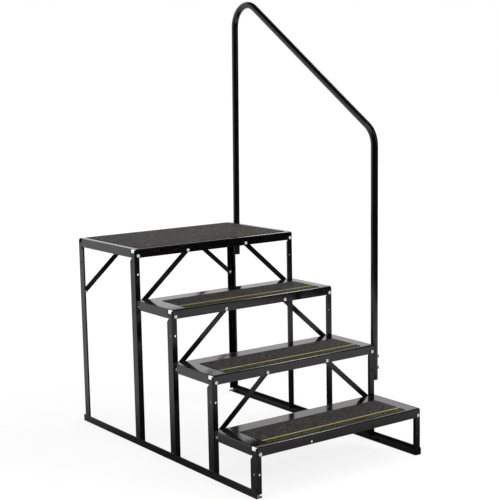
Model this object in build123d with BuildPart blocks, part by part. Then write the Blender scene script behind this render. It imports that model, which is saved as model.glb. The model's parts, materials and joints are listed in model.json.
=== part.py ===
"""Caravan entry step: a landing and three lower treads, folded from sheet steel, bolted to
angle iron legs on two base rails, with flat bar braces and one bent tube hand rail.

Millimetres, +Z up, front towards -Y, hand rail on the +X side.
The origin is on the floor, under the middle of the whole footprint.
"""

import math
import os

from build123d import *

os.makedirs("parts", exist_ok=True)

# Stair
stair_width = 686.0
run = 229.5
rise = 178.0
first_rise = 162.0
landing_depth = 404.0

# Folded sheet pans
sheet = 2.0
bend_inside = 2.0
skirt_height = 31.0
skirt_gap = 25.0
skirt_corner_cut = 3.0

# Angle iron legs
leg_side = 30.0
leg_face = 20.0
leg_wall = 3.0
leg_root = 1.0
leg_head_room = 0.5
leg_foot = 11.0
side_head_drop = 14.0
neck_width = 21.0
neck_drop = 34.0

# Angle iron base rails
base_flange = 25.0
base_wall = 3.0
base_root = 2.0
base_corner = 6.0
base_front_overhang = 2.0
base_rear_overhang = 8.0

# Flat bar braces
brace_width = 18.0
brace_thickness = 3.0
brace_end = 8.5
brace_end_radius = 8.5
brace_flat = 22.0
brace_reach = 126.0

# Bolts and nuts
bolt_diameter = 6.35
bolt_clearance = 0.35
head_flats = 11.1
head_height = 4.2
nut_height = 5.6
nut_clearance = 0.1
bolt_tail = 2.0
bolt_drop = 23.0
bolt_inset = 13.0

# Spare holes in the legs
spare_hole_drop = 89.0
side_gauge = 14.0

# Hand rail
tube_diameter = 25.4
tube_wall = 1.6
tube_seat = 0.3
hand_rail_bend = 84.0
hand_rail_slope = 33.7
hand_rail_front_lean = 0.4
hand_rail_rear_lean = 1.2
hand_rail_peak = 920.7
hand_rail_foot_drop = 130.0
hand_rail_rear_gauge = 22.0
hand_rail_bolt_drop = 48.0
plug_rim = 2.5
plug_stem = 12.0
plug_clearance = 0.2

# Grip mats
mat_thickness = 1.2
mat_corner = 5.0
mat_length = 576.0
mat_depth = 152.0
mat_front_margin = 14.0
mat_creep = 5.0
landing_mat_end_margin = 25.0
landing_mat_edge_margin = 15.0
stripe_width = 5.0
stripe_thickness = 0.3
stripe_setback = 45.0

# Levels, fronts and sides that everything is placed by
LOWER_TREADS = (1, 2, 3)
LANDING = len(LOWER_TREADS) + 1
SIDES = {"left": -1, "right": 1}
half_width = stair_width / 2
bend_outside = bend_inside + sheet
hole_radius = bolt_diameter / 2 + bolt_clearance
hand_rail_reach = tube_seat + tube_diameter + tube_seat + head_height
stair_x = -(hand_rail_reach - base_wall) / 2
first_front = -((LANDING - 1) * run + landing_depth + base_rear_overhang - base_front_overhang) / 2
landing_back = first_front + (LANDING - 1) * run + landing_depth
rear_leg_face = landing_back - sheet


def tread_top(i):
    return first_rise + (i - 1) * rise


def tread_front(i):
    return first_front + (i - 1) * run


def leg_front(i):
    return tread_front(i) + sheet


def tread_back(i):
    return landing_back if i == LANDING else leg_front(i + 1)


def bolt_level(i):
    return tread_top(i) - bolt_drop


def outer_face(side):
    return stair_x + side * half_width


def corner_bolt_x(side):
    return outer_face(side) - side * bolt_inset


def brace_bolt_x(side):
    return stair_x + side * brace_reach


def facing(x, y, z, y_sign):
    """Plane on a face that looks along +Y or -Y, at a bolt or hole centre."""
    return Plane(origin=(x, y, z), x_dir=(1, 0, 0), z_dir=(0, y_sign, 0))


def save(builder, name):
    builder.part.label = name
    export_step(builder.part, f"parts/{name}.step")


# Hand rail posts: each leans a little and passes through the side hole of its leg
hand_rail_x = outer_face(1) + tube_seat + tube_diameter / 2
front_post = {"tread": 2, "gauge_y": leg_front(2) + side_gauge, "lean": hand_rail_front_lean}
rear_post = {"tread": LANDING, "gauge_y": rear_leg_face - hand_rail_rear_gauge, "lean": hand_rail_rear_lean}


def post_y(post, z):
    hole_z = tread_top(post["tread"]) - spare_hole_drop
    return post["gauge_y"] - (z - hole_z) * math.tan(math.radians(post["lean"]))


def post_bolts(post):
    """Centres (y, z) of the two bolts through a post."""
    levels = [tread_top(post["tread"]) - drop for drop in (hand_rail_bolt_drop, spare_hole_drop)]
    return [(post_y(post, z), z) for z in levels]


# Folded pans
def channel_outline(start, end, top, lip):
    """Edges round the section of a channel of sheet, open downwards, with rounded bends."""
    with BuildLine() as outline:
        outer = FilletPolyline((start, lip), (start, top), (end, top), (end, lip), radius=bend_outside)
        inner = FilletPolyline(
            (start + sheet, lip),
            (start + sheet, top - sheet),
            (end - sheet, top - sheet),
            (end - sheet, lip),
            radius=bend_inside,
        )
        Line(outer @ 0, inner @ 0)
        Line(outer @ 1, inner @ 1)
    return outline.edges()


def tread_pan(i):
    """Top with front and rear skirts, and side skirts that stop short of both."""
    front, back, top = tread_front(i), tread_back(i), tread_top(i)
    lip = top - skirt_height
    corners = [corner_bolt_x(side) for side in SIDES.values()]
    braces = [brace_bolt_x(side) for side in SIDES.values()]
    rear_holes = corners + braces if i == LANDING else corners
    with BuildPart() as pan:
        with BuildSketch(Plane.YZ.offset(stair_x)):
            make_face(channel_outline(front, back, top, lip))
        extrude(amount=half_width - bend_outside, both=True)
        with BuildSketch(Plane.XZ.offset(-front - skirt_gap)):
            make_face(channel_outline(outer_face(-1), outer_face(1), top, lip))
        extrude(amount=-(back - front - 2 * skirt_gap))
        lower_edges = pan.edges().filter_by(Axis.X).group_by(Axis.Z)[0]
        chamfer([e for e in lower_edges if e.length < 2 * sheet], skirt_corner_cut)
        with Locations(*[facing(x, front, bolt_level(i), -1) for x in corners + braces]):
            Hole(hole_radius, depth=2 * sheet)
        with Locations(*[facing(x, back, bolt_level(i), 1) for x in rear_holes]):
            Hole(hole_radius, depth=2 * sheet)
    return pan


for i in LOWER_TREADS:
    save(tread_pan(i), f"tread_{i}_pan")
save(tread_pan(LANDING), "landing_pan")


# Grip mats, laid by hand, each a little further to the right than the one below
for i in LOWER_TREADS:
    front, top = tread_front(i), tread_top(i)
    mat_x = stair_x + (i - 1) * mat_creep
    with BuildPart() as grip_mat:
        with BuildSketch(Plane.XY.offset(top)):
            with Locations((mat_x, front + mat_front_margin + mat_depth / 2)):
                RectangleRounded(mat_length, mat_depth, mat_corner)
        extrude(amount=mat_thickness)
    save(grip_mat, f"tread_{i}_grip_mat")

    with BuildPart() as stripe:
        with BuildSketch(Plane.XY.offset(top + mat_thickness)):
            with Locations((mat_x, front + stripe_setback)):
                Rectangle(mat_length, stripe_width)
        extrude(amount=stripe_thickness)
    save(stripe, f"tread_{i}_stripe")

with BuildPart() as landing_mat:
    with BuildSketch(Plane.XY.offset(tread_top(LANDING))):
        with Locations((stair_x, (tread_front(LANDING) + landing_back) / 2)):
            RectangleRounded(
                stair_width - 2 * landing_mat_end_margin,
                landing_depth - 2 * landing_mat_edge_margin,
                mat_corner,
            )
    extrude(amount=mat_thickness)
save(landing_mat, "landing_grip_mat")


# Legs
def angle_leg(side, face, y_sign, i, face_levels, side_holes):
    """Angle iron leg of tread i, its face flange against the skirt and its side flange outside.

    The side flange is necked beside the pan and stops below the tread, so that the pan's
    corner stays open. face_levels are heights of holes in the face flange, and side_holes
    are centres (y, z) of holes in the side flange.
    """
    x, top = outer_face(side), tread_top(i)
    head = top - bend_outside - leg_head_room

    def at(across, along):
        return (x - side * across, face - y_sign * along)

    with BuildPart() as leg:
        with BuildSketch(Plane.XY.offset(leg_foot)) as section:
            with BuildLine():
                Polyline(
                    at(0, 0),
                    at(leg_face, 0),
                    at(leg_face, leg_wall),
                    at(leg_wall, leg_wall),
                    at(leg_wall, leg_side),
                    at(0, leg_side),
                    close=True,
                )
            make_face()
            root = section.vertices().sort_by_distance(Vector(*at(leg_wall, leg_wall)))[0]
            fillet(root, leg_root)
        extrude(amount=head - leg_foot)

        shoulder = top - neck_drop - (leg_side - neck_width)
        with BuildSketch(Plane.YZ.offset(x)):
            with BuildLine():
                Polyline(
                    (at(0, leg_wall)[1], head),
                    (at(0, leg_wall)[1], top - side_head_drop),
                    (at(0, neck_width)[1], top - side_head_drop),
                    (at(0, neck_width)[1], top - neck_drop),
                    (at(0, leg_side)[1], shoulder),
                    (at(0, leg_side)[1], head),
                    close=True,
                )
            make_face()
        extrude(amount=-side * (leg_wall + leg_root), mode=Mode.SUBTRACT)

        with Locations(*[facing(corner_bolt_x(side), face, z, y_sign) for z in face_levels]):
            Hole(hole_radius, depth=2 * leg_wall)
        with Locations(*[Plane(origin=(x, y, z), z_dir=(side, 0, 0)) for y, z in side_holes]):
            Hole(hole_radius, depth=2 * leg_wall)
    return leg


for i in (*LOWER_TREADS, LANDING):
    for hand, side in SIDES.items():
        face_levels = [bolt_level(i), tread_top(i) - spare_hole_drop]
        if i > 1:
            face_levels.append(bolt_level(i - 1))
        side_holes = [(leg_front(i) + side_gauge, tread_top(i) - spare_hole_drop)]
        if side == 1 and i == front_post["tread"]:
            side_holes = post_bolts(front_post)
        leg = angle_leg(side, leg_front(i), -1, i, face_levels, side_holes)
        save(leg, f"landing_front_leg_{hand}" if i == LANDING else f"tread_{i}_leg_{hand}")

for hand, side in SIDES.items():
    face_levels = [bolt_level(LANDING), bolt_level(LANDING - 1)]
    side_holes = post_bolts(rear_post) if side == 1 else [
        (rear_leg_face - side_gauge, tread_top(LANDING) - spare_hole_drop)
    ]
    leg = angle_leg(side, rear_leg_face, 1, LANDING, face_levels, side_holes)
    save(leg, f"landing_rear_leg_{hand}")


# Base rails
base_front = leg_front(1) - base_front_overhang
base_length = rear_leg_face + base_rear_overhang - base_front
for hand, side in SIDES.items():
    inner = outer_face(side)

    def across(distance):
        """Distance inwards from the outside of the base rail."""
        return inner + side * (base_wall - distance)

    with BuildPart() as base_rail:
        with BuildSketch(Plane.XZ.offset(-base_front)) as section:
            with BuildLine():
                Polyline(
                    (across(0), 0),
                    (across(base_flange), 0),
                    (across(base_flange), base_wall),
                    (across(base_wall), base_wall),
                    (across(base_wall), base_flange),
                    (across(0), base_flange),
                    close=True,
                )
            make_face()
            root = section.vertices().sort_by_distance(Vector(across(base_wall), base_wall))[0]
            fillet(root, base_root)
        extrude(amount=-base_length)
        upper_corners = base_rail.edges().filter_by(Axis.X).group_by(Axis.Z)[-1]
        toe = across(base_flange)
        upright_edges = base_rail.edges().filter_by(Axis.Z)
        toe_corners = [e for e in upright_edges if abs(e.center().X - toe) < base_wall / 2]
        fillet([*upper_corners, *toe_corners], base_corner)
    save(base_rail, f"base_rail_{hand}")


# Braces
def joggled_brace(side, seat, y_sign, i):
    """Flat bar from the skirt of tread i down to its leg, one level lower.

    It lies on the inside of the skirt at the top and steps over the leg's flange below.
    """
    upper = Vector(brace_bolt_x(side), seat, bolt_level(i))
    lower = Vector(corner_bolt_x(side), seat, bolt_level(i - 1))
    length = (lower - upper).length
    along = (lower - upper).normalized()
    inwards = Vector(0, -y_sign, 0)
    with BuildPart() as brace:
        with BuildSketch(Plane(origin=upper, x_dir=along, z_dir=along.cross(inwards))):
            with BuildLine():
                Polyline(
                    (-brace_end, 0),
                    (brace_flat, 0),
                    (length - brace_flat, leg_wall),
                    (length + brace_end, leg_wall),
                    (length + brace_end, leg_wall + brace_thickness),
                    (length - brace_flat, leg_wall + brace_thickness),
                    (brace_flat, brace_thickness),
                    (-brace_end, brace_thickness),
                    close=True,
                )
            make_face()
        extrude(amount=brace_width / 2, both=True)
        fillet(brace.edges().filter_by(Axis.Y), brace_end_radius)
        lower_hole = lower + inwards * leg_wall
        with Locations(*[facing(p.X, p.Y, p.Z, y_sign) for p in (upper, lower_hole)]):
            Hole(hole_radius, depth=2 * brace_thickness)
    return brace


for hand, side in SIDES.items():
    for i in (2, 3):
        save(joggled_brace(side, leg_front(i), -1, i), f"tread_{i}_brace_{hand}")
    save(joggled_brace(side, leg_front(LANDING), -1, LANDING), f"landing_front_brace_{hand}")
    save(joggled_brace(side, rear_leg_face, 1, LANDING), f"landing_rear_brace_{hand}")


# Hand rail
peak_z = tread_top(LANDING) + hand_rail_peak
peak = (post_y(rear_post, peak_z), peak_z)
slope = math.tan(math.radians(hand_rail_slope))
knee_y = front_post["gauge_y"]
for _ in range(8):
    knee_z = peak_z - (peak[0] - knee_y) * slope
    knee_y = post_y(front_post, knee_z)
tube_drop = hand_rail_foot_drop - plug_rim
feet = [tread_top(post["tread"]) - tube_drop for post in (rear_post, front_post)]

with BuildPart() as hand_rail:
    with BuildLine(Plane.YZ.offset(hand_rail_x)) as route:
        FilletPolyline(
            (post_y(rear_post, feet[0]), feet[0]),
            peak,
            (knee_y, knee_z),
            (post_y(front_post, feet[1]), feet[1]),
            radius=hand_rail_bend,
        )
    with BuildSketch(Plane(origin=route.line @ 0, z_dir=route.line % 0)):
        Circle(tube_diameter / 2)
        Circle(tube_diameter / 2 - tube_wall, mode=Mode.SUBTRACT)
    sweep()
    outside = hand_rail_x + tube_diameter / 2
    holes = [*post_bolts(rear_post), *post_bolts(front_post)]
    with Locations(*[Plane(origin=(outside, y, z), z_dir=(1, 0, 0)) for y, z in holes]):
        Hole(hole_radius, depth=tube_diameter)
save(hand_rail, "hand_rail")

plug_planes = [
    Plane(origin=route.line @ 0, z_dir=(route.line % 0) * -1),
    Plane(origin=route.line @ 1, z_dir=route.line % 1),
]
with BuildPart() as plugs:
    with BuildSketch(*plug_planes):
        Circle(tube_diameter / 2 - plug_clearance)
    extrude(amount=plug_rim)
    with BuildSketch(*plug_planes):
        Circle(tube_diameter / 2 - tube_wall - plug_clearance)
    extrude(amount=-plug_stem)
save(plugs, "hand_rail_plugs")


# Bolts and nuts
def bolts(groups):
    """Hex bolts, for groups of (planes under the heads, grip)."""
    with BuildPart() as group:
        for planes, grip in groups:
            with BuildSketch(*planes):
                RegularPolygon(head_flats / 2, 6, major_radius=False)
            extrude(amount=head_height)
            with BuildSketch(*planes):
                Circle(bolt_diameter / 2)
            extrude(amount=-(grip + nut_height + bolt_tail))
    return group


def nuts(groups):
    """Hex nuts on the far side of the same grips."""
    with BuildPart() as group:
        for planes, grip in groups:
            with BuildSketch(*[plane.offset(-grip) for plane in planes]):
                RegularPolygon(head_flats / 2, 6, major_radius=False)
                Circle(bolt_diameter / 2 + nut_clearance, mode=Mode.SUBTRACT)
            extrude(amount=-nut_height)
    return group


def on_both_sides(x_of, y, z, y_sign):
    return [facing(x_of(side), y, z, y_sign) for side in SIDES.values()]


skirt_and_leg = sheet + leg_wall
skirt_and_brace = sheet + brace_thickness
leg_and_brace = leg_wall + brace_thickness
all_treads = (*LOWER_TREADS, LANDING)

corner_planes = on_both_sides(corner_bolt_x, landing_back, bolt_level(LANDING), 1)
for i in all_treads:
    corner_planes += on_both_sides(corner_bolt_x, tread_front(i), bolt_level(i), -1)

rear_planes = []
for i in LOWER_TREADS:
    rear_planes += on_both_sides(corner_bolt_x, tread_back(i) - sheet, bolt_level(i), -1)

brace_planes = on_both_sides(brace_bolt_x, landing_back, bolt_level(LANDING), 1)
for i in all_treads[1:]:
    brace_planes += on_both_sides(brace_bolt_x, tread_front(i), bolt_level(i), -1)
rear_brace_foot_planes = on_both_sides(corner_bolt_x, rear_leg_face, bolt_level(LANDING - 1), 1)

rail_planes = [Plane(origin=(outside + tube_seat, y, z), z_dir=(1, 0, 0)) for y, z in holes]
rail_grip = 2 * tube_seat + tube_diameter + leg_wall

fasteners = {
    "corner": [(corner_planes, skirt_and_leg)],
    "tread_rear": [(rear_planes, skirt_and_leg + brace_thickness)],
    "brace": [(brace_planes, skirt_and_brace), (rear_brace_foot_planes, leg_and_brace)],
    "hand_rail": [(rail_planes, rail_grip)],
}
for joint, groups in fasteners.items():
    save(bolts(groups), f"{joint}_bolts")
    save(nuts(groups), f"{joint}_nuts")
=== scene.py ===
# %% [markdown]
# # A caravan entry step
#
# The real object is a step for a caravan door: folded sheet treads bolted to angle iron legs, all
# powder coated gloss black, with gritty mats on the treads and bright zinc bolts. The frame file
# already holds every solid at its true size. This lesson adds what a frame can't hold: the finishes,
# the turned detail of the small fasteners, the welds at the feet, the light and the camera.

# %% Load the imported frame
import json
import math

import bmesh
import bpy
from mathutils import Matrix, Vector

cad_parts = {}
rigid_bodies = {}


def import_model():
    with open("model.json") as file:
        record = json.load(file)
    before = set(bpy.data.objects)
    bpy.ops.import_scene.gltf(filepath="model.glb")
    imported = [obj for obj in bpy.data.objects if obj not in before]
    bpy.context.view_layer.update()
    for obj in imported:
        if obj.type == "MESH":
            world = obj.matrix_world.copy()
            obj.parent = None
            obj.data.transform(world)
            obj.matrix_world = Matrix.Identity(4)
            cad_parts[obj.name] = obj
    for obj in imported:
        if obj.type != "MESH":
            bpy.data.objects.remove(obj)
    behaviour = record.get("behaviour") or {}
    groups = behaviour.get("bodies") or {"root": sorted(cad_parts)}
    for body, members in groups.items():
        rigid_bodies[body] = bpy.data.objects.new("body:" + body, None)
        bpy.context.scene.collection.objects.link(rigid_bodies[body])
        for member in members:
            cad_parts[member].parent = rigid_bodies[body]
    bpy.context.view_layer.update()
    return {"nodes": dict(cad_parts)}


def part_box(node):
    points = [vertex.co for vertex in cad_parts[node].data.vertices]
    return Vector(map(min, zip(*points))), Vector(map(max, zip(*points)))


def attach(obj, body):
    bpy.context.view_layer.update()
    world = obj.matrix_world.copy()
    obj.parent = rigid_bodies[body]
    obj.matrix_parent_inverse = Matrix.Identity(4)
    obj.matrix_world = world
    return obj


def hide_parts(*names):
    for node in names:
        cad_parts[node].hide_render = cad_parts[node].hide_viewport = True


for leftover in list(bpy.context.scene.objects):
    bpy.data.objects.remove(leftover)

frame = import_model()
nodes = frame["nodes"]

# %% [markdown]
# ## Camera
#
# A camera can be matched to a photograph by eye, or worked out from corners and edges marked on it.
# Here the camera's place, its three angles and its focal length were fitted together with the main
# sizes, and then adjusted against the render. The stair's width is assumed, and so is that the lens
# points at the middle of the picture. The focal length is known in pixels, so it is turned into
# millimetres with the sensor's width.

# %% Place the camera
IMAGE_SIDE = 500
FOCAL_PIXELS = 1201.5
CAMERA_PLACE = (-2.4271, -3.3935, 1.2888)
CAMERA_TURN, CAMERA_TILT, CAMERA_ROLL = -35.927, -8.398, -1.094


def link_object(name, data):
    """Puts a new object into the scene."""
    obj = bpy.data.objects.new(name, data)
    bpy.context.scene.collection.objects.link(obj)
    return obj


lens = bpy.data.cameras.new("studio_camera")
lens.sensor_width = 36.0
lens.lens = FOCAL_PIXELS / IMAGE_SIDE * lens.sensor_width
camera = link_object("studio_camera", lens)
camera.matrix_world = (
    Matrix.Translation(CAMERA_PLACE)
    @ Matrix.Rotation(math.radians(CAMERA_TURN), 4, "Z")
    @ Matrix.Rotation(math.radians(90 + CAMERA_TILT), 4, "X")
    @ Matrix.Rotation(math.radians(CAMERA_ROLL), 4, "Z")
)
bpy.context.scene.camera = camera
bpy.context.scene.view_settings.view_transform = "Standard"
print(f"lens {lens.lens:.1f} mm")

# %% [markdown]
# ## Node helpers
#
# Every finish below is a small network of shader nodes. Writing each node and link by hand is long,
# so helpers do it: one adds a node and fills in its sockets, one makes a node group with named inputs
# and outputs, one puts such a group into a material, and one mixes two colours.

# %% Helpers for shader nodes
def add(tree, kind, values=None, **settings):
    """Adds a node. values go to its input sockets: a number or colour, or the output to link."""
    node = tree.nodes.new(f"ShaderNode{kind}")
    for key, value in settings.items():
        setattr(node, key, value)
    for socket, value in (values or {}).items():
        if isinstance(value, bpy.types.NodeSocket):
            tree.links.new(value, node.inputs[socket])
        else:
            node.inputs[socket].default_value = value
    return node


def new_group(name, inputs, outputs):
    """A shader node group. Inputs are {name: default}, outputs are {name: socket type}."""
    group = bpy.data.node_groups.new(name, "ShaderNodeTree")
    for label, default in inputs.items():
        socket = group.interface.new_socket(name=label, in_out="INPUT", socket_type="NodeSocketFloat")
        socket.default_value = default
    for label, kind in outputs.items():
        group.interface.new_socket(name=label, in_out="OUTPUT", socket_type=f"NodeSocket{kind}")
    return group, group.nodes.new("NodeGroupInput"), group.nodes.new("NodeGroupOutput")


def place(tree, group, values=None):
    """Puts a node group into a material, with its own values."""
    return add(tree, "Group", values, node_tree=group)


# A Mix node has sockets for every kind of value. These are the ones for numbers and for colours.
NUMBER_FIRST, NUMBER_SECOND, NUMBER_RESULT = 2, 3, 0
COLOUR_FIRST, COLOUR_SECOND, COLOUR_RESULT = 6, 7, 2


def mix_colours(tree, factor, first, second):
    """Output of a colour mix. first and second are colours or outputs."""
    values = {0: factor, COLOUR_FIRST: first, COLOUR_SECOND: second}
    return add(tree, "Mix", values, data_type="RGBA").outputs[COLOUR_RESULT]


def new_material(name):
    """A material with its node tree and its main shader."""
    material = bpy.data.materials.new(name)
    material.use_nodes = True
    return material, material.node_tree, material.node_tree.nodes["Principled BSDF"]


# %% [markdown]
# ## Rounded edges and worn edges
#
# No sheet edge is perfectly sharp: coating flows round it, and later it is where the coating rubs
# thin. A bevel in the mesh would change the solids, so the Bevel shader node is used. It gives a
# normal that turns softly round each edge, and where that normal leaves the face's own normal there
# is an edge, which makes a mask for wear.

# %% Group: soft edges
soft_edges, given, out = new_group(
    "soft_edges", {"Radius": 0.0006}, {"Normal": "Vector", "Edge": "Float"}
)
rounded = add(soft_edges, "Bevel", {"Radius": given.outputs["Radius"]}, samples=6)
flat = add(soft_edges, "NewGeometry")
normals = {0: rounded.outputs["Normal"], 1: flat.outputs["True Normal"]}
likeness = add(soft_edges, "VectorMath", normals, operation="DOT_PRODUCT")
edge = add(soft_edges, "MapRange", {"Value": likeness.outputs["Value"], "From Min": 0.995, "From Max": 0.8})
soft_edges.links.new(rounded.outputs["Normal"], out.inputs["Normal"])
soft_edges.links.new(edge.outputs["Result"], out.inputs["Edge"])
print("group", soft_edges.name)

# %% [markdown]
# ## Orange peel
#
# Powder coat is sprayed as dust and melted in an oven. It never levels quite flat: under a strip
# light the surface ripples like orange peel, in waves a few millimetres long, over slower swells
# from the rolled sheet. Two noise textures of those lengths are added, and a third one makes some
# patches glossier than others.

# %% Group: orange peel
SWELL_TO_PEEL = 5.0

orange_peel, given, out = new_group(
    "orange_peel", {"Peel": 420.0, "Swell": 14.0}, {"Height": "Float", "Haze": "Float"}
)
place_on = add(orange_peel, "TexCoord").outputs["Object"]
peel = add(orange_peel, "TexNoise", {"Vector": place_on, "Scale": given.outputs["Peel"], "Detail": 1.0})
swell = add(orange_peel, "TexNoise", {"Vector": place_on, "Scale": given.outputs["Swell"], "Detail": 1.0})
height = add(
    orange_peel,
    "Math",
    {0: swell.outputs["Fac"], 1: SWELL_TO_PEEL, 2: peel.outputs["Fac"]},
    operation="MULTIPLY_ADD",
)
haze = add(orange_peel, "TexNoise", {"Vector": place_on, "Scale": 31.0, "Detail": 4.0, "Roughness": 0.6})
orange_peel.links.new(height.outputs["Value"], out.inputs["Height"])
orange_peel.links.new(haze.outputs["Fac"], out.inputs["Haze"])
print("group", orange_peel.name)

# %% [markdown]
# ## Scuffs, settled dust and pale fronts, part wear and part painted highlight
#
# A step is walked on and dragged over the ground. Long thin scratches come from a noise texture
# that is stretched far more one way than the other, kept only where it is near its middle value.
# Dust settles on faces that look up, so its mask is the upward part of the normal, broken up by
# noise. Shoes rub the narrow strip in front of each mat dull, and the same strip is painted paler,
# partly as wear and partly as a painted highlight of the pan's rounded front fold. That strip is found
# with Generated coordinates, which run from 0 at a pan's front to 1 at its back, so one mask suits every pan.

# %% Group: scuffs
NOISE_MIDDLE = 0.5

scuffs, given, out = new_group("scuffs", {"Width": 0.006}, {"Mask": "Float"})
place_on = add(scuffs, "TexCoord").outputs["Object"]
stretch = {"Vector": place_on, "Rotation": (0.3, 0.2, 0.6), "Scale": (3.0, 46.0, 17.0)}
tilted = add(scuffs, "Mapping", stretch)
streaks = add(
    scuffs, "TexNoise", {"Vector": tilted.outputs["Vector"], "Scale": 2.0, "Detail": 3.0, "Distortion": 0.3}
)
middle = add(scuffs, "Math", {0: streaks.outputs["Fac"], 1: NOISE_MIDDLE}, operation="SUBTRACT")
distance = add(scuffs, "Math", {0: middle.outputs["Value"]}, operation="ABSOLUTE")
line = add(
    scuffs,
    "MapRange",
    {"Value": distance.outputs["Value"], "From Min": given.outputs["Width"], "From Max": 0.0},
)
patches = add(scuffs, "TexNoise", {"Vector": place_on, "Scale": 9.0, "Detail": 2.0})
only_some = add(scuffs, "MapRange", {"Value": patches.outputs["Fac"], "From Min": 0.52, "From Max": 0.66})
both = {0: line.outputs["Result"], 1: only_some.outputs["Result"]}
scuff = add(scuffs, "Math", both, operation="MULTIPLY")
scuffs.links.new(scuff.outputs["Value"], out.inputs["Mask"])
print("group", scuffs.name)

# %% Group: settled dust
settled_dust, given, out = new_group("settled_dust", {"Amount": 0.3}, {"Mask": "Float"})
upward = add(settled_dust, "SeparateXYZ", {0: add(settled_dust, "NewGeometry").outputs["Normal"]})
facing_up = add(settled_dust, "MapRange", {"Value": upward.outputs["Z"], "From Min": 0.5, "From Max": 1.0})
place_on = add(settled_dust, "TexCoord").outputs["Object"]
clouds = add(settled_dust, "TexNoise", {"Vector": place_on, "Scale": 24.0, "Detail": 8.0, "Roughness": 0.7})
thin = add(settled_dust, "MapRange", {"Value": clouds.outputs["Fac"], "From Min": 0.4, "From Max": 0.75})
both = {0: thin.outputs["Result"], 1: facing_up.outputs["Result"]}
lying = add(settled_dust, "Math", both, operation="MULTIPLY")
both = {0: lying.outputs["Value"], 1: given.outputs["Amount"]}
dust = add(settled_dust, "Math", both, operation="MULTIPLY")
settled_dust.links.new(dust.outputs["Value"], out.inputs["Mask"])
print("group", settled_dust.name)

# %% Group: pale fronts, part wear and part painted highlight
# Mask of each pan's front strip, which is painted paler both for shoe wear and as the highlight of its front
# fold.
nosing_wear_and_highlight, given, out = new_group("nosing_wear_and_highlight", {"Depth": 0.07}, {"Mask": "Float"})
from_front = add(nosing_wear_and_highlight, "SeparateXYZ", {0: add(nosing_wear_and_highlight, "TexCoord").outputs["Generated"]})
limits = {"Value": from_front.outputs["Y"], "From Min": given.outputs["Depth"], "From Max": 0.04}
strip = add(nosing_wear_and_highlight, "MapRange", limits)
upward = add(nosing_wear_and_highlight, "SeparateXYZ", {0: add(nosing_wear_and_highlight, "NewGeometry").outputs["Normal"]})
on_top = add(nosing_wear_and_highlight, "MapRange", {"Value": upward.outputs["Z"], "From Min": 0.9, "From Max": 1.0})
both = {0: strip.outputs["Result"], 1: on_top.outputs["Result"]}
front_wear_and_highlight = add(nosing_wear_and_highlight, "Math", both, operation="MULTIPLY")
nosing_wear_and_highlight.links.new(front_wear_and_highlight.outputs["Value"], out.inputs["Mask"])
print("group", nosing_wear_and_highlight.name)

# %% [markdown]
# ## Gloss black powder coat
#
# Most of the step is this one finish. Gloss black shows almost nothing of its own colour: what one
# sees is the room mirrored in it, faint when looked at square on and strong at a glancing angle.
# That comes from the shader by itself as long as the colour is very dark and the surface smooth.
# Sheet, bar and tube get their own values, because the tube was drawn smooth and the bars were
# hot rolled. The index of refraction would be the same for one paint. Here it differs a little, tuned
# so that each kind is as dark as in the photograph. Only the pans have a paler front strip, part shoe wear
# and part painted highlight of the front fold, and the landing's is the faintest.

# %% Material: powder coat
COAT_BLACK = (0.002, 0.002, 0.0022, 1.0)
# Paler coat for scuffs and rubbed edges, and also the painted highlight on the pans' front strips.
COAT_WEAR_AND_HIGHLIGHT = (0.05, 0.048, 0.045, 1.0)
DUST_GREY = (0.16, 0.15, 0.14, 1.0)
SCUFF_SHARE = 0.35
DUST_DULLS, WEAR_DULLS = 0.35, 0.3


def powder_coat(name, ior, gloss, peel, swell, relief, edge_radius, rub, dust_amount, nosing_and_highlight):
    """Black coating on steel. gloss is (least, most) roughness, relief is in metres. rub says how far
    edges are rubbed, and the last argument how strongly a pan's front strip is painted paler, as wear and
    as a painted highlight of its front fold, from 0 to 1."""
    material, tree, shader = new_material(name)
    edges = place(tree, soft_edges, {"Radius": edge_radius})
    skin = place(tree, orange_peel, {"Peel": peel, "Swell": swell})
    marks = place(tree, scuffs)
    film = place(tree, settled_dust, {"Amount": dust_amount})

    rubbed = add(tree, "Math", {0: edges.outputs["Edge"], 1: skin.outputs["Haze"]}, operation="MULTIPLY")
    rubbed = add(tree, "Math", {0: rubbed.outputs["Value"], 1: rub}, operation="MULTIPLY")
    both = {0: marks.outputs["Mask"], 1: SCUFF_SHARE, 2: rubbed.outputs["Value"]}
    wear_and_highlight_mask = add(tree, "Math", both, operation="MULTIPLY_ADD")
    wear_and_highlight_mask.use_clamp = True
    # The front strip is painted paler: partly shoe wear, partly a painted highlight of the front fold.
    if nosing_and_highlight:
        front_wear_and_highlight = place(tree, nosing_wear_and_highlight)
        both = {0: front_wear_and_highlight.outputs["Mask"], 1: nosing_and_highlight, 2: wear_and_highlight_mask.outputs["Value"]}
        wear_and_highlight_mask = add(tree, "Math", both, operation="MULTIPLY_ADD")
        wear_and_highlight_mask.use_clamp = True
    colour = mix_colours(tree, wear_and_highlight_mask.outputs["Value"], COAT_BLACK, COAT_WEAR_AND_HIGHLIGHT)
    colour = mix_colours(tree, film.outputs["Mask"], colour, DUST_GREY)

    limits = {"From Min": 0.3, "From Max": 0.7, "To Min": gloss[0], "To Max": gloss[1]}
    dull = add(tree, "MapRange", {"Value": skin.outputs["Haze"], **limits}).outputs["Result"]
    for mask, more in ((film.outputs["Mask"], DUST_DULLS), (wear_and_highlight_mask.outputs["Value"], WEAR_DULLS)):
        dull = add(tree, "Math", {0: mask, 1: more, 2: dull}, operation="MULTIPLY_ADD").outputs["Value"]
    waves = {"Height": skin.outputs["Height"], "Normal": edges.outputs["Normal"], "Distance": relief}
    ripple = add(tree, "Bump", waves)
    tree.links.new(colour, shader.inputs["Base Color"])
    tree.links.new(dull, shader.inputs["Roughness"])
    tree.links.new(ripple.outputs["Normal"], shader.inputs["Normal"])
    shader.inputs["IOR"].default_value = ior
    return material


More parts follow.
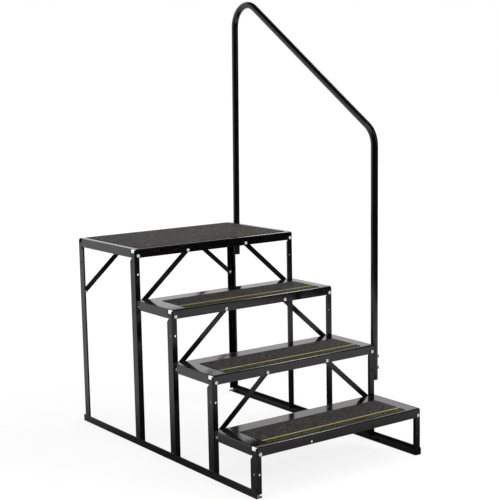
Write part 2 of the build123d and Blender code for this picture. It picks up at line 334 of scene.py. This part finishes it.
SHEET = {
    "ior": 1.5,
    "gloss": (0.06, 0.12),
    "peel": 420.0,
    "swell": 12.0,
    "relief": 0.00002,
    "edge_radius": 0.0008,
    "rub": 0.5,
    "dust_amount": 0.06,
}
BAR = {
    "ior": 1.39,
    "gloss": (0.1, 0.2),
    "peel": 380.0,
    "swell": 22.0,
    "relief": 0.00003,
    "edge_radius": 0.0006,
    "rub": 0.6,
    "dust_amount": 0.06,
}
TUBE = {
    "ior": 1.45,
    "gloss": (0.1, 0.18),
    "peel": 480.0,
    "swell": 9.0,
    "relief": 0.000015,
    "edge_radius": 0.0003,
    "rub": 0.2,
    "dust_amount": 0.03,
}
# The pans' front strips get a painted highlight along with wear; the landing's is fainter.
coat_on_treads = powder_coat("coat_on_treads", **SHEET, nosing_and_highlight=1.0)
coat_on_landing = powder_coat("coat_on_landing", **SHEET, nosing_and_highlight=0.35)
coat_on_bar = powder_coat("coat_on_bar", **BAR, nosing_and_highlight=0.0)
coat_on_tube = powder_coat("coat_on_tube", **TUBE, nosing_and_highlight=0.0)
print("coats", [coat.name for coat in (coat_on_treads, coat_on_landing, coat_on_bar, coat_on_tube)])

# %% [markdown]
# ## Grip mats and their stripes
#
# The mats are a plastic film covered with mineral grit, like coarse sandpaper. Each grain is about a
# millimetre, too small to model, so a Voronoi texture stands for the grains: its cell distance gives
# the height, its cell colour gives each grain its own grey, and a few grains glint. Grains lie closer
# together in some places than in others, so noise adds paler and darker clumps about a centimetre
# wide. The same group makes the yellow stripe, with other colours.

# %% Group and materials: mineral grit
GRIT_OUTPUTS = ("Height", "Tone", "Glint", "Stain")
CLUMP_SHARE = 0.65
CLUMP_HEIGHT = 8.0
GRAIN_RELIEF = 0.0004
GRIT_SHEEN = 0.34
mineral_grit, given, out = new_group("mineral_grit", {"Grains": 900.0}, dict.fromkeys(GRIT_OUTPUTS, "Float"))
place_on = add(mineral_grit, "TexCoord").outputs["Object"]
grains = add(mineral_grit, "TexVoronoi", {"Vector": place_on, "Scale": given.outputs["Grains"]})
own = add(mineral_grit, "SeparateColor", {0: grains.outputs["Color"]})
clump = add(mineral_grit, "TexNoise", {"Vector": place_on, "Scale": 90.0, "Detail": 3.0})
sunk = add(mineral_grit, "Math", {0: grains.outputs["Distance"], 1: -1.0}, operation="MULTIPLY")
both = {0: clump.outputs["Fac"], 1: CLUMP_HEIGHT, 2: sunk.outputs["Value"]}
raised = add(mineral_grit, "Math", both, operation="MULTIPLY_ADD")
clumped = add(mineral_grit, "MapRange", {"Value": clump.outputs["Fac"], "From Min": 0.32, "From Max": 0.68})
greys = {NUMBER_FIRST: own.outputs["Red"], NUMBER_SECOND: clumped.outputs["Result"]}
tone = add(mineral_grit, "Mix", {0: CLUMP_SHARE, **greys})
glint = add(mineral_grit, "MapRange", {"Value": own.outputs["Green"], "From Min": 0.93, "From Max": 1.0})
stain = add(mineral_grit, "TexNoise", {"Vector": place_on, "Scale": 7.0, "Detail": 6.0, "Roughness": 0.65})
tone = tone.outputs[NUMBER_RESULT]
sources = (raised.outputs["Value"], tone, glint.outputs["Result"], stain.outputs["Fac"])
for source, label in zip(sources, GRIT_OUTPUTS):
    mineral_grit.links.new(source, out.inputs[label])


def grit(name, dark, light, stained):
    """Mineral grit whose grains run from a dark to a light colour."""
    material, tree, shader = new_material(name)
    sand = place(tree, mineral_grit)
    film = place(tree, settled_dust, {"Amount": 0.1})
    colour = mix_colours(tree, sand.outputs["Tone"], dark, light)
    limits = {"From Min": 0.45, "From Max": 0.75, "To Max": 0.5}
    walked = add(tree, "MapRange", {"Value": sand.outputs["Stain"], **limits})
    colour = mix_colours(tree, walked.outputs["Result"], colour, stained)
    colour = mix_colours(tree, film.outputs["Mask"], colour, DUST_GREY)
    dull = add(tree, "MapRange", {"Value": sand.outputs["Tone"], "To Min": 1.0, "To Max": 0.55})
    shine = add(
        tree, "MapRange", {"Value": sand.outputs["Glint"], "To Min": dull.outputs["Result"], "To Max": 0.3}
    )
    bumps = add(tree, "Bump", {"Height": sand.outputs["Height"], "Distance": GRAIN_RELIEF, "Strength": 0.8})
    tree.links.new(colour, shader.inputs["Base Color"])
    tree.links.new(shine.outputs["Result"], shader.inputs["Roughness"])
    tree.links.new(bumps.outputs["Normal"], shader.inputs["Normal"])
    shader.inputs["Specular IOR Level"].default_value = GRIT_SHEEN
    return material


grip_grit = grit("grip_grit", (0.0005, 0.0005, 0.0005, 1), (0.041, 0.036, 0.022, 1), (0.013, 0.011, 0.008, 1))
stripe_grit = grit("stripe_grit", (0.38, 0.35, 0.03, 1), (0.58, 0.53, 0.08, 1), (0.30, 0.27, 0.05, 1))
print("grit", grip_grit.name, stripe_grit.name)

# %% [markdown]
# ## Bright zinc and black plastic
#
# The bolts are zinc plated: a pale metal with a faint cloudiness from the plating bath. The plugs in
# the hand rail's feet are moulded in black plastic, with the fine grain of a spark eroded mould.

# %% Materials: zinc and plastic
ZINC_GREY, ZINC_PALE = (0.80, 0.81, 0.82, 1), (0.93, 0.92, 0.89, 1)
PLASTIC_DARK, PLASTIC_PALE = (0.012, 0.012, 0.012, 1), (0.026, 0.026, 0.026, 1)


def bright_zinc():
    """Zinc plating, clouded by its bath."""
    material, tree, shader = new_material("bright_zinc")
    place_on = add(tree, "TexCoord").outputs["Object"]
    edges = place(tree, soft_edges, {"Radius": 0.0003})
    bath = add(tree, "TexNoise", {"Vector": place_on, "Scale": 190.0, "Detail": 5.0, "Roughness": 0.6})
    colour = mix_colours(tree, bath.outputs["Fac"], ZINC_GREY, ZINC_PALE)
    limits = {"From Min": 0.3, "From Max": 0.7, "To Min": 0.42, "To Max": 0.58}
    dull = add(tree, "MapRange", {"Value": bath.outputs["Fac"], **limits})
    relief = {"Height": bath.outputs["Fac"], "Normal": edges.outputs["Normal"], "Distance": 0.00003}
    grain = add(tree, "Bump", relief)
    tree.links.new(colour, shader.inputs["Base Color"])
    tree.links.new(dull.outputs["Result"], shader.inputs["Roughness"])
    tree.links.new(grain.outputs["Normal"], shader.inputs["Normal"])
    shader.inputs["Metallic"].default_value = 1.0
    return material


def moulded_plastic():
    """Black plastic with a fine moulded grain."""
    material, tree, shader = new_material("moulded_plastic")
    place_on = add(tree, "TexCoord").outputs["Object"]
    spark = add(tree, "TexNoise", {"Vector": place_on, "Scale": 2600.0, "Detail": 2.0})
    colour = mix_colours(tree, spark.outputs["Fac"], PLASTIC_DARK, PLASTIC_PALE)
    dull = add(tree, "MapRange", {"Value": spark.outputs["Fac"], "To Min": 0.45, "To Max": 0.62})
    grain = add(tree, "Bump", {"Height": spark.outputs["Fac"], "Distance": 0.00004})
    tree.links.new(colour, shader.inputs["Base Color"])
    tree.links.new(dull.outputs["Result"], shader.inputs["Roughness"])
    tree.links.new(grain.outputs["Normal"], shader.inputs["Normal"])
    return material


zinc = bright_zinc()
plug_plastic = moulded_plastic()
print("small parts", zinc.name, plug_plastic.name)

# %% [markdown]
# ## Dress the solids
#
# Each solid keeps its shape and gets the finish that its name calls for.

# %% Give every solid its finish
def finish_for(name):
    """The finish that a node's name calls for."""
    if "mat" in name:
        return grip_grit
    if "stripe" in name:
        return stripe_grit
    if "bolts" in name or "nuts" in name:
        return zinc
    if "plugs" in name:
        return plug_plastic
    if "pan" in name:
        return coat_on_landing if name.startswith("landing") else coat_on_treads
    if name == "hand_rail":
        return coat_on_tube
    return coat_on_bar


for name, solid in nodes.items():
    solid.data.materials.clear()
    solid.data.materials.append(finish_for(name))
print({finish_for(name).name for name in nodes})

# %% [markdown]
# ## Hex bolts and nuts
#
# In the frame a bolt is a plain hexagon on a plain rod. A real one is cut to a cone at its corners,
# so every flat ends in an arch, it has a thin round face underneath, and a screw thread on its tail.
# Such parts could be cut out of a hexagon with booleans, but a lathe is tidier: rows of points go
# round the axis, and a row may follow a circle, a hexagon or a thread. The place, axis and turn of
# each fastener are read from the solid that it stands for. The hand rail's own fasteners are black
# like the rail, and the others are bright.

# %% Read the fasteners from the frame
def solids_in(node):
    """The separate solids of a group, as lists of points, in the order of the mesh."""
    shell = bmesh.new()
    shell.from_mesh(nodes[node].data)
    bmesh.ops.remove_doubles(shell, verts=shell.verts, dist=1e-6)
    shell.verts.index_update()
    seen, groups = set(), []
    for first in shell.verts:
        if first.index in seen:
            continue
        seen.add(first.index)
        reached = [first]
        for vert in reached:
            for link in vert.link_edges:
                other = link.other_vert(vert)
                if other.index not in seen:
                    seen.add(other.index)
                    reached.append(other)
        groups.append([vert.co.copy() for vert in reached])
    shell.free()
    return groups


def placed_on(points, long_axis):
    """Matrix from a lathe's axes to a fastener's: Z along it, X to a corner of its hexagon. Every
    fastener lies level, so its axis is X or Y."""
    low = Vector([min(p[k] for p in points) for k in range(3)])
    high = Vector([max(p[k] for p in points) for k in range(3)])
    size = high - low
    axis = max(range(2), key=lambda k: size[k] if long_axis else -size[k])
    middle = (low + high) / 2

    def spread(p):
        off = p - middle
        off[axis] = 0
        return off.length

    corner = max(points, key=spread)
    head_is_high = corner[axis] > middle[axis]
    along = Vector((0, 0, 0))
    along[axis] = 1.0 if head_is_high else -1.0
    base = middle.copy()
    base[axis] = low[axis] if head_is_high else high[axis]
    to_corner = corner - middle
    to_corner[axis] = 0
    to_corner.normalize()
    turn = Matrix((to_corner, along.cross(to_corner), along)).transposed().to_4x4()
    return Matrix.Translation(base) @ turn, size[axis]


FASTENERS = {kind: sorted(n for n in nodes if n.endswith(kind)) for kind in ("bolts", "nuts")}
print({node: len(solids_in(node)) for names in FASTENERS.values() for node in names})

# %% Rows for a lathe
TURN_STEPS = 36
FLATS = 0.0111
HEAD_HEIGHT = 0.0042
BOLT_RADIUS = 0.003175
BORE_RADIUS = 0.003275
TOP_RADIUS = 0.475 * FLATS
CONE_SLOPE = math.tan(math.radians(30))
THREAD_PITCH = 0.00127
THREAD_DEPTH = 0.0005
THREAD_LENGTH = 0.0042
THREAD_START = 0.0004
THREAD_RUN_OUT = 0.0008
THREAD_ROWS_PER_TURN = 8
TIP_CHAMFER = 0.0009
WASHER_FACE = 0.0003
DISH_SHARE = 0.6
DISH_DEPTH = 0.0001
NUT_SINK = 0.0006
ANGLES = [math.tau * k / TURN_STEPS for k in range(TURN_STEPS)]


def circle_row(radius, level):
    """Row on a circle."""
    return [(radius, level)] * TURN_STEPS


def hexagon_row(level, cone_sign):
    """Row on a hexagon. The cone lowers or raises its corners more than its flats."""
    row = []
    for angle in ANGLES:
        radius = FLATS / 2 / math.cos(angle % (math.pi / 3) - math.pi / 6)
        row.append((radius, level - cone_sign * (radius - TOP_RADIUS) * CONE_SLOPE))
    return row


def thread_row(level):
    """Row across a screw thread, which climbs by one pitch for each turn."""
    row = []
    for angle in ANGLES:
        phase = (level / THREAD_PITCH - angle / math.tau) % 1.0
        row.append((BOLT_RADIUS - THREAD_DEPTH * abs(2 * phase - 1), level))
    return row


def lathe(mesh, matrix, rows, closed):
    """Joins rows of (radius, level) round an axis. A closed part is a ring, an open one gets caps."""
    rings = []
    for row in rows:
        points = [(r * math.cos(a), r * math.sin(a), z) for a, (r, z) in zip(ANGLES, row)]
        rings.append([mesh.verts.new(matrix @ Vector(point)) for point in points])
    pairs = list(zip(rings, rings[1:]))
    if closed:
        pairs.append((rings[-1], rings[0]))
    else:
        mesh.faces.new(rings[0][::-1])
        mesh.faces.new(rings[-1])
    for below, above in pairs:
        for k in range(TURN_STEPS):
            n = (k + 1) % TURN_STEPS
            mesh.faces.new((below[k], below[n], above[n], above[k]))


def bolt_rows(length):
    """Rows of a bolt, from the tip of its thread to the dished top of its head."""
    under = length - HEAD_HEIGHT
    steps = int(THREAD_LENGTH / THREAD_PITCH * THREAD_ROWS_PER_TURN)
    rows = [circle_row(BOLT_RADIUS - TIP_CHAMFER, 0.0)]
    rows += [thread_row(THREAD_START + THREAD_LENGTH * k / steps) for k in range(steps + 1)]
    rows += [circle_row(BOLT_RADIUS, THREAD_LENGTH + THREAD_RUN_OUT), circle_row(BOLT_RADIUS, under)]
    rows += [circle_row(TOP_RADIUS, under), circle_row(TOP_RADIUS, under + WASHER_FACE)]
    rows += [hexagon_row(under + WASHER_FACE, 0), hexagon_row(length, 1)]
    rows += [circle_row(TOP_RADIUS, length), circle_row(DISH_SHARE * TOP_RADIUS, length - DISH_DEPTH)]
    return rows


def nut_rows(height):
    """Rows of a nut, out from its sunk bore, up its flats and back to the bore."""
    rows = [circle_row(BORE_RADIUS, NUT_SINK), circle_row(BORE_RADIUS + NUT_SINK, 0.0)]
    rows += [circle_row(TOP_RADIUS, 0.0), hexagon_row(0.0, -1), hexagon_row(height, 1)]
    rows += [circle_row(TOP_RADIUS, height), circle_row(BORE_RADIUS + NUT_SINK, height)]
    rows += [circle_row(BORE_RADIUS, height - NUT_SINK)]
    return rows


print(TURN_STEPS, "points to a row")

# %% Turn every bolt and nut
SMOOTH_UNDER = math.radians(28)


def piece_from(name, mesh, finish, slot):
    """A piece of the object from a finished bmesh."""
    bmesh.ops.recalc_face_normals(mesh, faces=mesh.faces)
    data = bpy.data.meshes.new(name)
    mesh.to_mesh(data)
    mesh.free()
    data.shade_smooth()
    data.set_sharp_from_angle(angle=SMOOTH_UNDER)
    data.materials.append(finish)
    piece = link_object(name, data)
    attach(piece, "root")
    return piece


for kind, names in FASTENERS.items():
    for node in names:
        shaped = bmesh.new()
        for points in solids_in(node):
            matrix, length = placed_on(points, kind == "bolts")
            rows = bolt_rows(length) if kind == "bolts" else nut_rows(length)
            lathe(shaped, matrix, rows, kind == "nuts")
        black = node.startswith("hand_rail")
        finish = (coat_on_bar, "black_powder_coat") if black else (zinc, "zinc_plated_steel")
        piece = piece_from(f"turned_{node}", shaped, *finish)
        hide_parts(node)
        print(piece.name, len(piece.data.polygons), "faces")

# %% [markdown]
# ## Welds at the feet
#
# The legs stand inside the base rails. The photograph is too small to show how they are held, so welds
# are assumed, along the rails' upper edges. A weld is laid in small overlapping pools, so the bead has
# ripples that curve back, and it thins out at both ends. It could be drawn with bump alone, but its
# outline shows against the light, so it is a mesh: an arc carried along the edge, swelling and
# shrinking once for each pool.

# %% Lay the weld beads
BEAD_SIZE = 0.0027
POOL_LENGTH = 0.0021
BEAD_ROWS_PER_POOL = 8
BEAD_ARC = 8
BEAD_TAPER = 0.003
BEAD_END_SHARE = 0.15
BEAD_ROOT = 0.0004
POOL_BOW = 0.35
POOL_DIP = 0.14
POOL_CURVE = 0.6
WELD_INSET = 0.0015


def lay_bead(mesh, start, along, outward, up, length):
    """Weld bead in the corner between two faces, from a start point along an edge."""
    steps = int(length / POOL_LENGTH * BEAD_ROWS_PER_POOL)
    rings = []
    for k in range(steps + 1):
        travel = length * k / steps
        to_end = min(travel, length - travel)
        taper = math.sqrt(min(1.0, BEAD_END_SHARE + to_end / BEAD_TAPER))
        ring = [start + along * travel - (outward + up) * BEAD_ROOT]
        for j in range(BEAD_ARC + 1):
            turn = math.pi / 2 * j / BEAD_ARC
            bow = math.sin(2 * turn) * POOL_BOW
            pool = ((travel / POOL_LENGTH + bow) % 1.0) ** POOL_CURVE
            size = BEAD_SIZE * taper * min(1.0, 1.0 - POOL_DIP + POOL_DIP * pool)
            offset = outward * math.cos(turn) + up * math.sin(turn)
            ring.append(start + along * travel + offset * size)
        rings.append([mesh.verts.new(point) for point in ring])
    count = BEAD_ARC + 2
    for below, above in zip(rings, rings[1:]):
        for k in range(count):
            n = (k + 1) % count
            mesh.faces.new((below[k], below[n], above[n], above[k]))
    mesh.faces.new(rings[0][::-1])
    mesh.faces.new(rings[-1])


beads = bmesh.new()
for hand, outside in (("left", -1), ("right", 1)):
    rail_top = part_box(f"base_rail_{hand}")[1].z
    legs = [n for n in sorted(nodes) if n.endswith(f"_leg_{hand}")]
    for leg in legs:
        low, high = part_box(leg)
        face_x = high.x if outside > 0 else low.x
        start = Vector((face_x, low.y + WELD_INSET, rail_top))
        outward, length = Vector((outside, 0, 0)), high.y - low.y - 2 * WELD_INSET
        lay_bead(beads, start, Vector((0, 1, 0)), outward, Vector((0, 0, 1)), length)
foot_welds = piece_from("foot_welds", beads, coat_on_bar, "black_powder_coat")
print(foot_welds.name, len(foot_welds.data.polygons), "faces")

# %% [markdown]
# ## Floor and room
#
# The photograph has a plain white ground. A white floor that is only lit would come out grey, so it
# shows its own white to the camera and to mirror rays, mixed with a share of real shading that keeps
# the soft shadow near the object. The share fades out a few metres away, which hides the horizon. The
# white that the camera sees is lifted a little, to make up for the share of shading.
# A white floor would also make the low faces paler than they are in the photograph. So a soft round
# patch of the floor, which stands for the shade under the step, is dark to mirror rays alone. Its size
# and darkness are tuned.

# %% Floor
WHITE = (1, 1, 1, 1)
FLOOR_PALE = (0.94, 0.94, 0.94, 1)
FLOOR_HALF = 40.0
FLOOR_LEVEL = -0.0004
SHADOW_SEEN = 0.22
SHADOW_NEAR, SHADOW_FAR = 0.9, 2.6
PATCH_MIDDLE = (0.25, 0.0, 0.0)
PATCH_NEAR, PATCH_FAR = 0.5, 1.4
PATCH_DARKENS = 0.93
WHITE_LIFT = 0.06

floor_mesh = bpy.data.meshes.new("floor")
corners = [(x * FLOOR_HALF, y * FLOOR_HALF, FLOOR_LEVEL) for x, y in ((-1, -1), (1, -1), (1, 1), (-1, 1))]
floor_mesh.from_pydata(corners, [], [(0, 1, 2, 3)])
link_object("floor", floor_mesh)

floor_white, tree, shader = new_material("floor_white")
tree.nodes.remove(shader)
on_floor = add(tree, "TexCoord").outputs["Object"]


def fading(middle, near, far):
    """Output that falls softly from 1 near a point of the floor to 0 far from it."""
    off = add(tree, "VectorMath", {0: on_floor, 1: middle}, operation="DISTANCE")
    limits = {"Value": off.outputs["Value"], "From Min": far, "From Max": near}
    return add(tree, "MapRange", limits, interpolation_type="SMOOTHSTEP").outputs["Result"]


rays = add(tree, "LightPath").outputs
mirrors = add(tree, "Math", {0: rays["Is Glossy Ray"], 1: rays["Is Transmission Ray"]}, operation="MAXIMUM")
mirrors = mirrors.outputs["Value"]
near_object = fading((0, 0, 0), SHADOW_NEAR, SHADOW_FAR)
seen_white = add(tree, "Math", {0: near_object, 1: -SHADOW_SEEN, 2: 1.0}, operation="MULTIPLY_ADD")
seen = add(tree, "Math", {0: rays["Is Camera Ray"], 1: seen_white.outputs["Value"]}, operation="MULTIPLY")
share = add(tree, "Math", {0: mirrors, 1: seen.outputs["Value"]}, operation="MAXIMUM")
patch = fading(PATCH_MIDDLE, PATCH_NEAR, PATCH_FAR)
patch = add(tree, "Math", {0: patch, 1: mirrors}, operation="MULTIPLY")
darkened = {0: patch.outputs["Value"], 1: -PATCH_DARKENS, 2: 1.0}
strength = add(tree, "Math", darkened, operation="MULTIPLY_ADD")
lifted = {0: rays["Is Camera Ray"], 1: WHITE_LIFT, 2: strength.outputs["Value"]}
strength = add(tree, "Math", lifted, operation="MULTIPLY_ADD")
matt = add(tree, "BsdfDiffuse", {"Color": FLOOR_PALE})
white = add(tree, "Emission", {"Color": WHITE, "Strength": strength.outputs["Value"]})
both = add(tree, "MixShader", {0: share.outputs["Value"], 1: matt.outputs[0], 2: white.outputs[0]})
tree.links.new(both.outputs[0], tree.nodes["Material Output"].inputs["Surface"])
floor_mesh.materials.append(floor_white)
print("floor", floor_white.name)

# %% Room
ROOM_LIGHT = 0.5
ROOM_SEEN = 1.0

world = bpy.data.worlds.new("studio_room")
bpy.context.scene.world = world
world.use_nodes = True
tree = world.node_tree
rays = add(tree, "LightPath").outputs
either = add(tree, "Math", {0: rays["Is Camera Ray"], 1: rays["Is Glossy Ray"]}, operation="MAXIMUM")
either = add(tree, "Math", {0: either.outputs["Value"], 1: rays["Is Transmission Ray"]}, operation="MAXIMUM")
room = add(tree, "Background", {"Color": WHITE, "Strength": ROOM_LIGHT})
backdrop = add(tree, "Background", {"Color": WHITE, "Strength": ROOM_SEEN})
both = add(tree, "MixShader", {0: either.outputs["Value"], 1: room.outputs[0], 2: backdrop.outputs[0]})
tree.links.new(both.outputs[0], tree.nodes["World Output"].inputs["Surface"])
print("room", world.name)

# %% [markdown]
# ## A dark curtain and four lamps
#
# Gloss black is lit by what it mirrors. In the photograph the front faces and the hand rail are nearly
# black and only the left faces and the tops are pale, which suggests a room that is white behind the
# object and dark in front of it. A photographer gets this with a black curtain. Here it is a wall in an
# arc with a ceiling over it, which only mirror rays can see, so it takes no light away. A large lamp on
# the left and a weak one in front light the mats. A third lamp at the front right is there for the bolt
# heads, whose satin metal catches it where the smooth coat doesn't. The last one is a narrow strip high
# on the right, which the round folds of the pans mirror as thin bright lines. Lamps and room together
# show a matt grey card within about a fifth of its own tone, so colours come out about as they are
# written.

# %% Curtain
CURTAIN_RADIUS = 2.8
CURTAIN_HEIGHT = 5.0
CEILING_RADIUS = 4.2
CURTAIN_FROM, CURTAIN_TO = math.radians(72), math.radians(278)
CURTAIN_STEPS = 48
CEILING_STEPS = 64
CURTAIN_BLACK = (0.01, 0.01, 0.01, 1)


def on_arc(radius, angle, height):
    """Point round the object. The angle goes from the back to the right."""
    return (radius * math.sin(angle), radius * math.cos(angle), height)


span = [CURTAIN_FROM + (CURTAIN_TO - CURTAIN_FROM) * k / CURTAIN_STEPS for k in range(CURTAIN_STEPS + 1)]
hem = [on_arc(CURTAIN_RADIUS, angle, 0.0) for angle in span]
rod = [on_arc(CURTAIN_RADIUS, angle, CURTAIN_HEIGHT) for angle in span]
turns = [math.tau * k / CEILING_STEPS for k in range(CEILING_STEPS)]
ceiling = [on_arc(CEILING_RADIUS, angle, CURTAIN_HEIGHT) for angle in turns]
count = len(span)
faces = [(k, k + 1, count + k + 1, count + k) for k in range(count - 1)]
faces.append(tuple(range(2 * count, 2 * count + len(ceiling))))
curtain_mesh = bpy.data.meshes.new("dark_curtain")
curtain_mesh.from_pydata(hem + rod + ceiling, [], faces)
curtain_cloth, tree, shader = new_material("curtain_cloth")
shader.inputs["Base Color"].default_value = CURTAIN_BLACK
shader.inputs["Roughness"].default_value = 0.9
curtain_mesh.materials.append(curtain_cloth)
curtain = link_object("dark_curtain", curtain_mesh)
curtain.visible_camera = False
curtain.visible_diffuse = False
curtain.visible_transmission = False
curtain.visible_shadow = False
print("curtain", len(faces), "faces")


# %% Lamps
def soft_lamp(name, place_at, aim, size, power):
    """Area lamp, with a width and a depth, that looks at a point."""
    data = bpy.data.lights.new(name, "AREA")
    data.shape = "RECTANGLE"
    data.size, data.size_y = size
    data.energy = power
    lamp = link_object(name, data)
    turn = (Vector(aim) - Vector(place_at)).to_track_quat("-Z", "Y").to_matrix().to_4x4()
    lamp.matrix_world = Matrix.Translation(place_at) @ turn
    lamp.visible_camera = False
    print(name, power, "W")


soft_lamp("key_lamp", (-2.4, -0.8, 3.2), (0.0, 0.0, 0.4), (2.6, 2.6), 40.0)
soft_lamp("fill_lamp", (0.8, -2.6, 2.8), (0.0, 0.0, 0.4), (1.6, 1.6), 8.0)
soft_lamp("bolt_lamp", (1.9, -3.3, 1.9), (0.0, -0.3, 0.4), (1.4, 1.4), 60.0)
soft_lamp("strip_lamp", (2.0, 0.15, 3.0), (0.0, 0.15, 0.4), (1.5, 0.4), 30.0)
